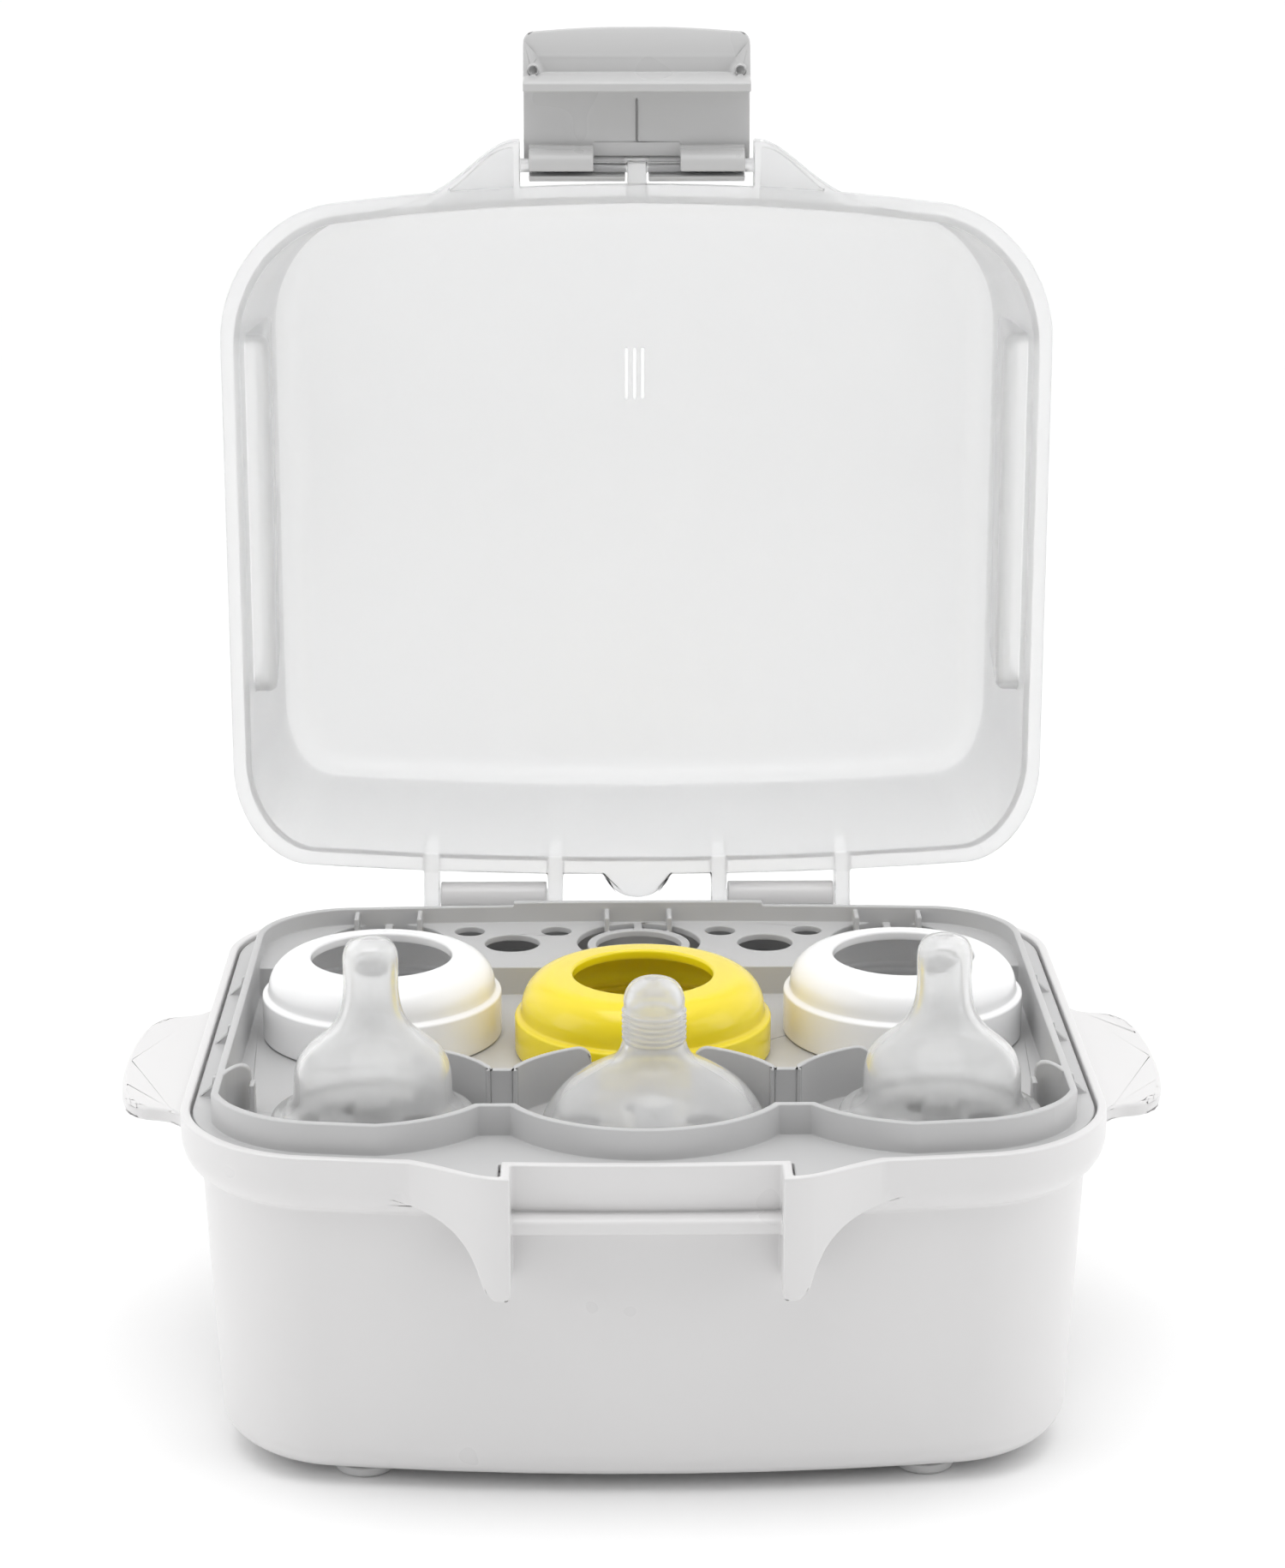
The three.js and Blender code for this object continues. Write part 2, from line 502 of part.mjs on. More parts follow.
// ---------- bottle parts that ride in the tray ----------
function collar({ x, y, radius }) {
  const inner = radius - COLLAR_WALL;
  const open = COLLAR_OPENING;
  const top = COLLAR_HEIGHT;
  const profile = [[inner, 0], [radius, 0], [radius, 15.2], [radius - 0.4, 15.8], [radius - 1.6, 16.2],
    [radius - 1.8, 19]];
  for (let i = 1; i <= 5; i += 1) {
    const turn = (i / 5) * Math.PI / 2;
    profile.push([radius - 1.8 - 6 * (1 - Math.cos(turn)), 19 + (top - 19.6) * Math.sin(turn)]);
  }
  profile.push([open + 3, top], [open, top - 0.8], [open, top - 2.6], [inner - 5, top - 3.4],
    [inner - 1.2, 18.5], [inner - 1, 15], [inner, 0]);
  return lathe(profile, 36).translate(x, y, FLOOR_TOP + GAP);
}
function teat({ x, y, wide }) {
  const wall = 1.6;
  const skin = wide
    ? [[29, 3.2], [27.5, 6], [24.5, 10.5], [19, 15], [12.5, 18.2], [9.2, 21], [8.1, 25], [8, 33],
      [7.6, 37.5], [5.4, 40.4], [2.6, 41.6]]
    : [[26.5, 3], [22, 4], [20.5, 6.5], [20.4, 10], [18.5, 15.5], [14, 20.2], [9.5, 24], [7.2, 28.5],
      [6.4, 34], [6.5, 44], [6.1, 50], [4.6, 52.6], [2.4, 53.6]];
  const top = skin[skin.length - 1][1];
  const inside = skin.slice(1).reverse().map(([r, z]) => [Math.max(r - wall, 0.8), z - wall * 0.7]);
  const profile = [[skin[1][0] - wall - 1, 0], [skin[0][0], 0], ...skin, [0, top], [0, top - wall],
    ...inside.slice(1), [skin[1][0] - wall - 1, 2.5], [skin[1][0] - wall - 1, 0]];
  return lathe(profile, 28).translate(x, y, FLOOR_TOP + GAP);
}

// ---------- assembly in the open pose ----------
const CENTRE_Y = (EAR_FRONT + (HINGE.y + LID_TOP - HINGE.z)) / 2;
const group = new THREE.Group();
group.position.y = -CENTRE_Y;
group.add(node('base_tub', baseTub(), WHITE));
for (const [side, x] of [['left', -FOOT.x], ['right', FOOT.x]]) {
  group.add(node(`foot_front_${side}`, foot(x, -FOOT.y), RUBBER));
  group.add(node(`foot_rear_${side}`, foot(x, FOOT.y), RUBBER));
}
group.add(node('accessory_tray', accessoryTray(), GREY));
for (const item of COLLARS) {
  group.add(node(item.name, collar(item), plastic(item.colour, 0.25)));
}
for (const item of TEATS) {
  group.add(node(item.name, teat(item), SILICONE));
}

const lidPivot = new THREE.Group();
lidPivot.position.set(0, HINGE.y, HINGE.z);
lidPivot.rotation.x = -Math.PI / 2;
lidPivot.add(node('lid_shell', lidShell(), FROSTED, [0, HINGE.y, HINGE.z]));
const latchPivot = new THREE.Group();
latchPivot.position.set(0, LATCH.y - HINGE.y, LATCH.z - HINGE.z);
latchPivot.rotation.x = -Math.PI / 2;
latchPivot.add(node('front_latch', frontLatch(), LATCH_GREY, [0, LATCH.y, LATCH.z]));
lidPivot.add(latchPivot);
group.add(lidPivot);

export default group;
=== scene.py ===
"""A baby bottle steam sterilizer, open and loaded with bottle parts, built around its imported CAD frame.

Every piece is drawn in millimetres in the frame of the closed sterilizer, with the tub centred on the
origin in plan, and settle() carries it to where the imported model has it, with the lid and latch open.
"""
import json
import math

import bmesh
import bpy
from mathutils import Matrix, Vector


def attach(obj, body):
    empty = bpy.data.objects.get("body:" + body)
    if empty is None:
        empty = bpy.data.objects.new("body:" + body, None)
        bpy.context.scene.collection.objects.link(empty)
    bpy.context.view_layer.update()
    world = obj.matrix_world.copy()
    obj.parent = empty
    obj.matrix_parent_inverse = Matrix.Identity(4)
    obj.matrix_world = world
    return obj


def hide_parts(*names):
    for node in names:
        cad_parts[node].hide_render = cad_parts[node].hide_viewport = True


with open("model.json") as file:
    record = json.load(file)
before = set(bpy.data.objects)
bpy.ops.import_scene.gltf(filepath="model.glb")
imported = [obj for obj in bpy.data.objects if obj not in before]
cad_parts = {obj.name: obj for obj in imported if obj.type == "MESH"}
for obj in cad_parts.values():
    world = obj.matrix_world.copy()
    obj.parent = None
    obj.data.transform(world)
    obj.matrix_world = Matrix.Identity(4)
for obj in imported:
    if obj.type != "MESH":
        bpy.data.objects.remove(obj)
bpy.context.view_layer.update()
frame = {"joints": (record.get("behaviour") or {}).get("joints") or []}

MM = 0.001
GAP = 0.3

# ---------- driving dimensions, as the CAD has them ----------
BODY = dict(width=120, front=-103, rear=103, front_corner=(33, 34), rear_corner=(24, 28),
            front_bow=6, rear_bow=3.5)
LID = dict(width=121, front=-104.3, rear=103, front_corner=(33, 36), rear_corner=(22, 29),
           front_bow=5.5, rear_bow=3.5)
TRAY = dict(width=111, front=-79.6, rear=91, front_corner=(26, 26), rear_corner=(25, 25),
            front_bow=0.5, rear_bow=2.5)

FOOT = dict(x=73, y=75, radius=8, height=3, stud=3, stud_depth=1.4)
TUB_BOTTOM = FOOT["height"]
TUB_FLOOR = 3.4
TUB_WALL = 2.2
TUB_FILLET = 9.0
TUB_DRAFT = 0.048
RIM_Z = 94.3
RIM_WALL = 2.4
LEDGE_Z = 91.0
LEDGE_INSET = 6.2
SKIRT_Z = 78.5
SKIRT_INSET = 5.1
HANDLE = dict(reach=141.5, root=50, low=81.5, high=85.5)
POCKET_X = 33.7
EAR = dict(front=-112.0, tip=61.5, wall=2.2)
RIDGE = dict(top=81, bottom=76.6, front=-105.6)
HINGE = dict(y=110.6, z=98.0, barrel=4.4, bore=2.35, pin=2.0, inner=27.5, outer=59.5, lug=5.0,
             lug_inner=22.5, lug_outer=64.5)

LID_Z = RIM_Z + GAP
LID_FLANGE = 2.0
LID_EDGE = 3.7
LID_WALL = 1.9
LID_TOP = 168.6
LID_FILLET = 11.0
LID_TAPER = 0.075
LID_EAR = dict(front=-116.4, height=10, wall=1.8)
SCOOP = dict(front=-58, rear=46, low=104, top=150, foot=109.5, head=113)
LATCH = dict(y=-109.4, z=97.4, half=32.5, shaft=1.95, bore=2.3, barrel=4.6, reach=38.5, hook_top=76.2,
             hook_bottom=72.9, hook_tip=-103.4, plate=1.9, clip_inner=12.5, barrel_inner=3.4,
             clip_outer=31)

TRAY_WALL = 2.0
TRAY_TOP = 101.5
TRAY_REACH = 5.4
TRAY_FLOOR = 86.0
FLOOR_TOP = 88.0
FLANGE = 2.0
CELL = dict(pitch=74, y=-64.2, outer_y=-60.8, a=36.3, b=31.4, land=4, divider=-52.6)
CELLS = (-CELL["pitch"], 0, CELL["pitch"])
LANDS = (-CELL["pitch"] / 2, CELL["pitch"] / 2)
BACK_CELL = dict(y=15.6, radius=36.5)
SHELF = dict(front=46.5, top=96.5, thickness=2)
PEG = dict(radius=5, top=96)

COLLARS = (("collar_left", -72, 15.6, "white"), ("collar_middle", 0.4, 1.5, "yellow"),
           ("collar_right", 73, 15.6, "white"))
COLLAR_SIZES = {"white": dict(radius=33.2, step=11.5, top=22.4, opening=19.3),
                "yellow": dict(radius=35.2, step=9.5, top=21.7, opening=19)}
COLLAR_WALL = 2.0
TEATS = (("teat_left", -70, -61.5, False), ("teat_middle", 2.5, -63, True), ("teat_right", 77, -60.6, False))
TEAT_WALL = 1.6

PINS = {joint["name"]: Vector(joint["pos_m"]) for joint in frame["joints"] if "pos_m" in joint}
HINGE_AT = PINS["lid_hinge"]
LATCH_AT = PINS["latch_pivot"]
SHIFT_Y = HINGE_AT.y / MM - HINGE["y"]


# ---------- curves and outlines ----------
def bezier(points, steps):
    degree = len(points) - 1
    curve = []
    for i in range(steps + 1):
        t = i / steps
        weights = [math.comb(degree, k) * (1 - t) ** (degree - k) * t ** k for k in range(degree + 1)]
        curve.append(tuple(sum(w * p[axis] for w, p in zip(weights, points)) for axis in (0, 1)))
    return curve


def spline(points, steps):
    """A smooth curve through every point (Catmull-Rom)."""
    ends = [points[0], *points, points[-1]]
    curve = []
    for a, b, c, d in zip(ends, ends[1:], ends[2:], ends[3:]):
        for i in range(steps):
            t = i / steps
            curve.append(tuple(0.5 * (2 * b[k] + (c[k] - a[k]) * t
                                      + (2 * a[k] - 5 * b[k] + 4 * c[k] - d[k]) * t * t
                                      + (3 * b[k] - a[k] - 3 * c[k] + d[k]) * t ** 3) for k in (0, 1)))
    return [*curve, points[-1]]


def arc(centre, radius, start, end, steps):
    angles = [math.radians(start + (end - start) * i / steps) for i in range(steps + 1)]
    return [(centre[0] + radius * math.cos(a), centre[1] + radius * math.sin(a)) for a in angles]


def outline(shape, inset=0.0, steps=16):
    """The closed outline of tub, tray and lid: straight sides, a bowed front and back, round corners."""
    width = shape["width"] - inset
    points = []
    for y, bow, corner, sign in ((shape["front"] + inset, shape["front_bow"], shape["front_corner"], 1),
                                 (shape["rear"] - inset, shape["rear_bow"], shape["rear_corner"], -1)):
        shrink = min(inset * 0.6, corner[0] - 12)
        run, rise = corner[0] - shrink, corner[1] - shrink
        out = math.copysign(1, y)
        flat = width - run
        slope = out * 2 * bow / flat
        start = y - out * bow
        kappa = 0.55

        def bend(side):
            return bezier([(side * flat, start), (side * (flat + kappa * run), start - slope * kappa * run),
                           (side * width, start - out * (1 - kappa) * rise - slope * run),
                           (side * width, start - out * rise - slope * run)], steps)

        points += bend(-sign)[:0:-1]
        points += bezier([(-sign * flat, start), (0, y + out * bow), (sign * flat, start)], steps)[:-1]
        points += bend(sign)
    return points


def handed(points, side):
    return list(points) if side > 0 else [(-x, y) for x, y in reversed(points)]


# ---------- solids ----------
def solid(vertices, faces):
    mesh = bpy.data.meshes.new("solid")
    mesh.from_pydata(vertices, [], faces)
    work = bmesh.new()
    work.from_mesh(mesh)
    bmesh.ops.recalc_face_normals(work, faces=work.faces)
    work.to_mesh(mesh)
    work.free()
    result = bpy.data.objects.new("solid", mesh)
    bpy.context.scene.collection.objects.link(result)
    return result


def stack(rings, vertices):
    """Walls between rings of equal length, with both ends closed."""
    count = rings
    faces = [(base + i, base + (i + 1) % count, base + count + (i + 1) % count, base + count + i)
             for base in range(0, len(vertices) - count, count) for i in range(count)]
    faces.append(tuple(reversed(range(count))))
    faces.append(tuple(range(len(vertices) - count, len(vertices))))
    return solid(vertices, faces)


def loft(rings):
    """A solid through outlines; each ring is (points, z)."""
    return stack(len(rings[0][0]), [(x, y, z) for points, z in rings for x, y in points])


def prism(points, low, high, axis="Z"):
    """Points are (x, y) along Z, (y, z) along X or (x, z) along Y."""
    place = {"X": lambda a, b, t: (t, a, b), "Y": lambda a, b, t: (a, t, b),
             "Z": lambda a, b, t: (a, b, t)}[axis]
    return stack(len(points), [place(a, b, t) for t in (low, high) for a, b in points])


def box(x0, x1, y0, y1, z0, z1):
    return prism([(x0, y0), (x1, y0), (x1, y1), (x0, y1)], z0, z1)


def drum(radius, x, y, z0, z1, sides=48):
    return prism(arc((x, y), radius, 0, 360 - 360 / sides, sides - 1), z0, z1)


def rod(radius, x0, x1, y, z, sides=40):
    return prism(arc((y, z), radius, 0, 360 - 360 / sides, sides - 1), x0, x1, "X")


def oval(a, b, x, y, z0, z1, sides=120):
    return prism([(x + a * c, y + b * s) for c, s in arc((0, 0), 1, 0, 360 - 360 / sides, sides - 1)], z0, z1)


def lathe(profile, x, y, z, segments=112):
    """A turned piece; a profile of (radius, height) that doesn't reach the axis closes on itself."""
    vertices, rings = [], []
    for radius, height in profile:
        if radius < 1e-6:
            rings.append([len(vertices)] * segments)
            vertices.append((x, y, z + height))
        else:
            rings.append(list(range(len(vertices), len(vertices) + segments)))
            vertices += [(x + radius * math.cos(math.tau * i / segments),
                          y + radius * math.sin(math.tau * i / segments), z + height)
                         for i in range(segments)]
    closed = profile[0][0] > 1e-6
    pairs = zip(rings, rings[1:] + rings[:1] if closed else rings[1:])
    faces = []
    for low, high in pairs:
        for i in range(segments):
            j = (i + 1) % segments
            face = tuple(dict.fromkeys((low[i], low[j], high[j], high[i])))
            if len(face) > 2:
                faces.append(face)
    return solid(vertices, faces)


def bake(target):
    """Applies the modifiers that are on a piece."""
    evaluated = target.evaluated_get(bpy.context.evaluated_depsgraph_get())
    mesh = bpy.data.meshes.new_from_object(evaluated)
    target.modifiers.clear()
    old, target.data = target.data, mesh
    bpy.data.meshes.remove(old)
    return target


def combine(operation, target, tools):
    for tool in tools:
        modifier = target.modifiers.new(operation, "BOOLEAN")
        modifier.operation = operation
        modifier.solver = "MANIFOLD"
        modifier.object = tool
    bake(target)
    for tool in tools:
        bpy.data.meshes.remove(tool.data)
    return target


def join(target, *tools):
    return combine("UNION", target, tools)


def cut(target, *tools):
    return combine("DIFFERENCE", target, tools)


def overlap(target, *tools):
    return combine("INTERSECT", target, tools)


def rounded(target, width, segments=3, limit=40):
    """Rolls the sharp edges over by width, in the piece's own units, as moulded plastic has them."""
    work = bmesh.new()
    work.from_mesh(target.data)
    bmesh.ops.remove_doubles(work, verts=work.verts, dist=0.02)
    bmesh.ops.dissolve_degenerate(work, edges=work.edges, dist=0.02)
    bmesh.ops.dissolve_limit(work, angle_limit=math.radians(0.6), verts=work.verts, edges=work.edges)
    bmesh.ops.triangulate(work, faces=[f for f in work.faces if len(f.verts) > 4], ngon_method="BEAUTY")
    work.to_mesh(target.data)
    work.free()
    bevel = target.modifiers.new("rounded", "BEVEL")
    bevel.width = width
    bevel.segments = segments
    bevel.limit_method = "ANGLE"
    bevel.angle_limit = math.radians(limit)
    bevel.use_clamp_overlap = False
    bevel.miter_outer = "MITER_ARC"
    return bake(target)


def settle(target, name, body, material, turn=0, pivot=None, pin=None):
    """Carries a finished piece from the closed drawing to its place in the frame and hands it over."""
    to_row = Matrix.Translation((0, SHIFT_Y * MM, 0)) @ Matrix.Scale(MM, 4)
    if turn:
        drawn = Vector((0, (pivot["y"] + SHIFT_Y) * MM, pivot["z"] * MM))
        to_row = (Matrix.Translation(pin) @ Matrix.Rotation(math.radians(turn), 4, "X")
                  @ Matrix.Translation(-drawn) @ to_row)
    target.data.transform(to_row)
    target.data.shade_smooth()
    target.data.materials.clear()
    target.data.materials.append(material)
    target.name = target.data.name = name + "_shape"
    weighted = target.modifiers.new("shading", "WEIGHTED_NORMAL")
    weighted.weight = 80
    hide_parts(name)
    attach(target, body)


# ---------- tub ----------
def bowl(bottom, fillet, extra, steps=10):
    rings = []
    for i in range(steps + 1):
        turn = i / steps * math.pi / 2
        z = bottom + fillet * (1 - math.cos(turn))
        inset = SKIRT_INSET + (SKIRT_Z - z) * TUB_DRAFT + extra + fillet * (1 - math.sin(turn))
        rings.append((outline(BODY, inset), z))
    return rings


def ear_plan(front, side, shrink=0.0):
    """An ear bulges out of the rim smoothly and ends square at the latch pocket."""
    curve = bezier([(POCKET_X + shrink, front + shrink), (45, front + shrink), (50, -101 + shrink),
                    (72 - shrink, -96.6 + shrink)], 20)
    return handed([*curve, (72 - shrink, -92), (POCKET_X + shrink, -92)], side)


def tub_ear(side):
    fang = bezier([(40.5, EAR["tip"] + 3), (44, 76), (47, 83), (72, 84.5)], 24)
    tip = EAR["tip"]
    corner = bezier([(POCKET_X, tip + 2), (POCKET_X + 0.2, tip), (POCKET_X + 2.2, tip)], 4)
    face = [(POCKET_X, RIM_Z), *corner, (38, tip + 0.2), *fang, (72, RIM_Z)]
    skin = overlap(prism(ear_plan(EAR["front"], side), EAR["tip"], RIM_Z),
                   prism(handed(face, side), -115, -90, "Y"))
    return cut(skin, prism(ear_plan(EAR["front"], side, EAR["wall"]), EAR["tip"] - 1, LEDGE_Z - EAR["wall"]))


def tub_handle(side):
    root, reach = HANDLE["root"], HANDLE["reach"]
    flare = bezier([(119.5, root), (121, root - 9), (125, root - 12), (131, root - 13)], 10)
    tip = bezier([(131, root - 13), (137.5, root - 14.5), (reach, root - 22), (reach, 0)], 16)
    half = flare + tip[1:]
    lower = [(x, -y) for x, y in reversed(half[:-1])]
    plan = handed([*half, *lower, (114, -root), (114, root)], side)
    return rounded(prism(plan, HANDLE["low"], HANDLE["high"]), 1.1, 4)


def hinge_bracket(side):
    y, z, barrel = HINGE["y"], HINGE["z"], HINGE["barrel"]
    low, high = sorted((side * HINGE["inner"], side * HINGE["outer"]))
    profile = [(100.5, z - 12), (y - 1, z - barrel), (y, z), (103, RIM_Z - GAP), (100.5, RIM_Z - GAP)]
    bracket = join(prism(profile, low, high, "X"), rod(barrel, low, high, y, z))
    ends = ((low - 1, low + 7), (high - 7, high + 1))
    bores = [rod(HINGE["bore"], start, end, y, z) for start, end in ends]
    return cut(bracket, *bores)


def base_tub():
    skirt = bezier([(SKIRT_INSET, SKIRT_Z), (3.4, 79.4), (0.3, 82), (0, 88)], 12)
    tub = loft([*bowl(TUB_BOTTOM, TUB_FILLET, 0), *[(outline(BODY, inset), z) for inset, z in skirt],
                (outline(BODY), RIM_Z)])
    inner = loft([*bowl(TUB_BOTTOM + TUB_FLOOR, TUB_FILLET - TUB_WALL, TUB_WALL),
                  (outline(BODY, SKIRT_INSET + TUB_WALL), SKIRT_Z), (outline(BODY, LEDGE_INSET), LEDGE_Z - 3),
                  (outline(BODY, LEDGE_INSET), RIM_Z + 1)])
    rebate = loft([(outline(BODY, RIM_WALL), LEDGE_Z), (outline(BODY, RIM_WALL), RIM_Z + 1)])
    front = RIDGE["front"]
    ridge = prism([(-95, RIDGE["bottom"]), (front + 0.6, RIDGE["bottom"]), (front, RIDGE["bottom"] + 1),
                   (front, RIDGE["top"] - 1.6), (front + 0.7, RIDGE["top"] - 0.6), (-103.6, RIDGE["top"]),
                   (-95, RIDGE["top"])], -POCKET_X - 1, POCKET_X + 1, "X")
    join(tub, ridge, *[make(side) for make in (tub_ear, tub_handle, hinge_bracket) for side in (-1, 1)])
    studs = [drum(FOOT["stud"] + GAP, x, y, TUB_BOTTOM - 1, TUB_BOTTOM + FOOT["stud_depth"] + GAP)
             for x in (-FOOT["x"], FOOT["x"]) for y in (-FOOT["y"], FOOT["y"])]
    cut(tub, inner, rebate, *[prism(ear_plan(EAR["front"], side, RIM_WALL), LEDGE_Z, RIM_Z + 1)
                              for side in (-1, 1)], *studs)
    return rounded(tub, 0.55)


def foot(x, y):
    radius, height, stud = FOOT["radius"], FOOT["height"], FOOT["stud"]
    top, stud_top = height - GAP, height + FOOT["stud_depth"]
    profile = [(0, 0.35), (radius - 3.2, 0.35), (radius - 2.8, 0), *arc((radius - 1.1, 1.1), 1.1, -90, 0, 6),
               *arc((radius - 0.5, top - 0.5), 0.5, 0, 90, 4), (stud, top), (stud, stud_top), (0, stud_top)]
    return lathe(profile, x, y, 0, 72)


# ---------- tray ----------
def tray_region(grow, z0, z1):
    """The tray's outline over the three front cells, kept inside the rim and, low down, inside the tub."""
    inset = TRAY_WALL - grow
    region = prism(outline(TRAY, inset), z0, z1)
    limit = TRAY["width"] - inset
    cells = [overlap(oval(CELL["a"] + grow, CELL["b"] + grow, x, CELL["outer_y"] if x else CELL["y"], z0, z1),
                     box(-limit, limit, -120, 0, z0 - 1, z1 + 1)) for x in CELLS]
    join(region, *cells)
    overlap(region, prism(outline(BODY, TRAY_REACH + inset), z0 - 1, z1 + 1))
    seat = LEDGE_Z + GAP
    if z0 < seat:
        outside = cut(box(-130, 130, -130, 130, z0 - 1, seat),
                      prism(outline(BODY, LEDGE_INSET + 0.8 + inset), z0 - 2, seat + 1))
        cut(region, outside)
    return region


def tray_dividers():
    """Low walls behind the front cells: a flat land at each cell boundary with two curved wings."""
    wall, round_end = 1.6, 4
    front, back = CELL["divider"] - wall / 2, CELL["divider"] + wall / 2 + 0.4
    walls = [box(x - CELL["land"], x + CELL["land"], front, back, TRAY_FLOOR, TRAY_TOP) for x in LANDS]
    for x in CELLS:
        for side in (-1, 1):
            outer = abs(x + side * CELL["pitch"] / 2) > CELL["pitch"]
            near, far = (29, 35.5) if outer else (13.7, 34.2)
            face = [(near, TRAY_FLOOR - 1), (far, TRAY_FLOOR - 1), (far, TRAY_TOP + 1),
                    (near + round_end, TRAY_TOP + 1),
                    *arc((near + round_end, TRAY_TOP - round_end), round_end, 90, 180, 8)]
            window = prism([(x + px, z) for px, z in handed(face, side)], CELL["y"] + 8, 0, "Y")
            ring = cut(oval(CELL["a"] + wall, CELL["b"] + wall, x, CELL["y"], TRAY_FLOOR, TRAY_TOP),
                       oval(CELL["a"], CELL["b"], x, CELL["y"], TRAY_FLOOR - 1, TRAY_TOP + 1))
            walls.append(overlap(ring, window))
    return walls


def tray_shelf():
    top, thickness = SHELF["top"], SHELF["thickness"]

    def front_space(grow):
        return [box(-130, 130, -130, SHELF["front"] + grow, 0, 130),
                *[drum(BACK_CELL["radius"] + grow, x, BACK_CELL["y"], 0, 130, 96) for x in CELLS]]

    shelf = cut(tray_region(1, FLOOR_TOP - 0.5, top), *front_space(0))
    hollow = cut(tray_region(1, FLOOR_TOP - 1.5, top - thickness), *front_space(TRAY_WALL))
    cut(shelf, hollow)
    for x in CELLS:
        cut(shelf, overlap(drum(18, x, 70, 90, top + 1, 72), box(x - 20, x + 20, 54, 100, 89, top + 2)))
        ring = overlap(cut(drum(15, x, 68, top - thickness, top, 64), drum(12.4, x, 68, 89, top + 1, 64)),
                       box(x - 20, x + 20, 40, 100, 89, top + 2))
        spoke = cut(box(x - 1.2, x + 1.2, 49, 88, top - thickness, top), drum(12.4, x, 68, 89, top + 1, 64))
        fins = [box(x + fin - 0.7, x + fin + 0.7, 80, 90, top - thickness, TRAY_TOP - 1)
                for fin in (-9.25, 9.25)]
        join(shelf, ring, spoke, *fins)
    for x in LANDS:
        cut(shelf, drum(8, x, 69, 90, top + 1), *[drum(4.4, x + small, 80.5, 90, top + 1, 32)
                                                 for small in (-12.8, 12.8)])
    return shelf


def accessory_tray():
    tray = tray_region(TRAY_WALL, TRAY_FLOOR, TRAY_TOP)
    edge = RIM_WALL + 2 * GAP
    low, high = LEDGE_Z + GAP, LEDGE_Z + GAP + FLANGE
    lobes = [prism(ear_plan(EAR["front"], side, edge), low, high) for side in (-1, 1)]
    crest = overlap(tray_region(TRAY_WALL, 99, TRAY_TOP + 1.2), box(-37, 37, 80, 95, 98, 104))
    join(tray, prism(outline(BODY, edge), low, high), *lobes, crest)
    cut(tray, tray_region(0, FLOOR_TOP, TRAY_TOP + 2))
    join(tray, *tray_dividers(), tray_shelf())
    for side in (-1, 1):
        for y in (-50, -9, 32):
            gusset = handed([(110.5, 93), (116, 93), (116, 93.6), (110.5, 98.5)], side)
            join(tray, prism(gusset, y - 0.7, y + 0.7, "Y"), drum(1.3, side * 111.2, y, 93, 98.9, 20))
    join(tray, box(-103, -101.6, -52, -47, FLOOR_TOP - 1, 97), box(101.6, 103, -52, -47, FLOOR_TOP - 1, 97))
    holes = []
    for x in CELLS:
        for turn in range(6):
            angle = (turn + 0.5) * math.pi / 3
            for radius, ring, y in ((5.5, 19, CELL["y"]), (5, 21, BACK_CELL["y"])):
                holes.append(drum(radius, x + ring * math.cos(angle), y + ring * math.sin(angle),
                                  TRAY_FLOOR - 1, FLOOR_TOP + 1, 32))
        holes.append(drum(11, x, BACK_CELL["y"], TRAY_FLOOR - 1, FLOOR_TOP + 1, 56))
    join(tray, *[drum(PEG["radius"], x, y, TRAY_FLOOR, PEG["top"]) for _, x, y, _ in TEATS])
    return cut(rounded(tray, 0.4, 2), *holes)


# ---------- lid ----------
def lid_bell(extra, floor, top, steps=10):
    fillet = LID_FILLET - extra
    base = LID_EDGE + extra
    shoulder = top - fillet
    rings = [(outline(LID, base + (floor - LID_Z) * LID_TAPER), floor)]
    for i in range(steps + 1):
        turn = i / steps * math.pi / 2
        inset = base + (shoulder - LID_Z) * LID_TAPER + fillet * (1 - math.cos(turn))
        rings.append((outline(LID, inset), shoulder + fillet * math.sin(turn)))
    return loft(rings)


def lid_scoop(grow, side):
    foot_x, head_x, low = (SCOOP[key] - grow for key in ("foot", "head", "low"))
    top = SCOOP["top"] + grow
    points = [(foot_x, low), (130, low), (130, top), (head_x, top)]
    return rounded(prism(handed(points, side), SCOOP["front"] - grow, SCOOP["rear"] + grow, "Y"), 3, 5)


def lid_ear(side):
    front, height, wall = LID_EAR["front"], LID_EAR["height"], LID_EAR["wall"]
    return cut(prism(ear_plan(front, side), LID_Z, LID_Z + height),
               prism(ear_plan(front, side, wall), LID_Z - 1, LID_Z + height - wall))


def hinge_lug(low, high):
    y, z = HINGE["y"], HINGE["z"]
    turn = arc((y, z), HINGE["lug"], -111.6, 90, 20)
    return prism([*turn, (100, z + 12), (94, z + 12), (94, LID_Z), (102.4, LID_Z)], low, high, "X")


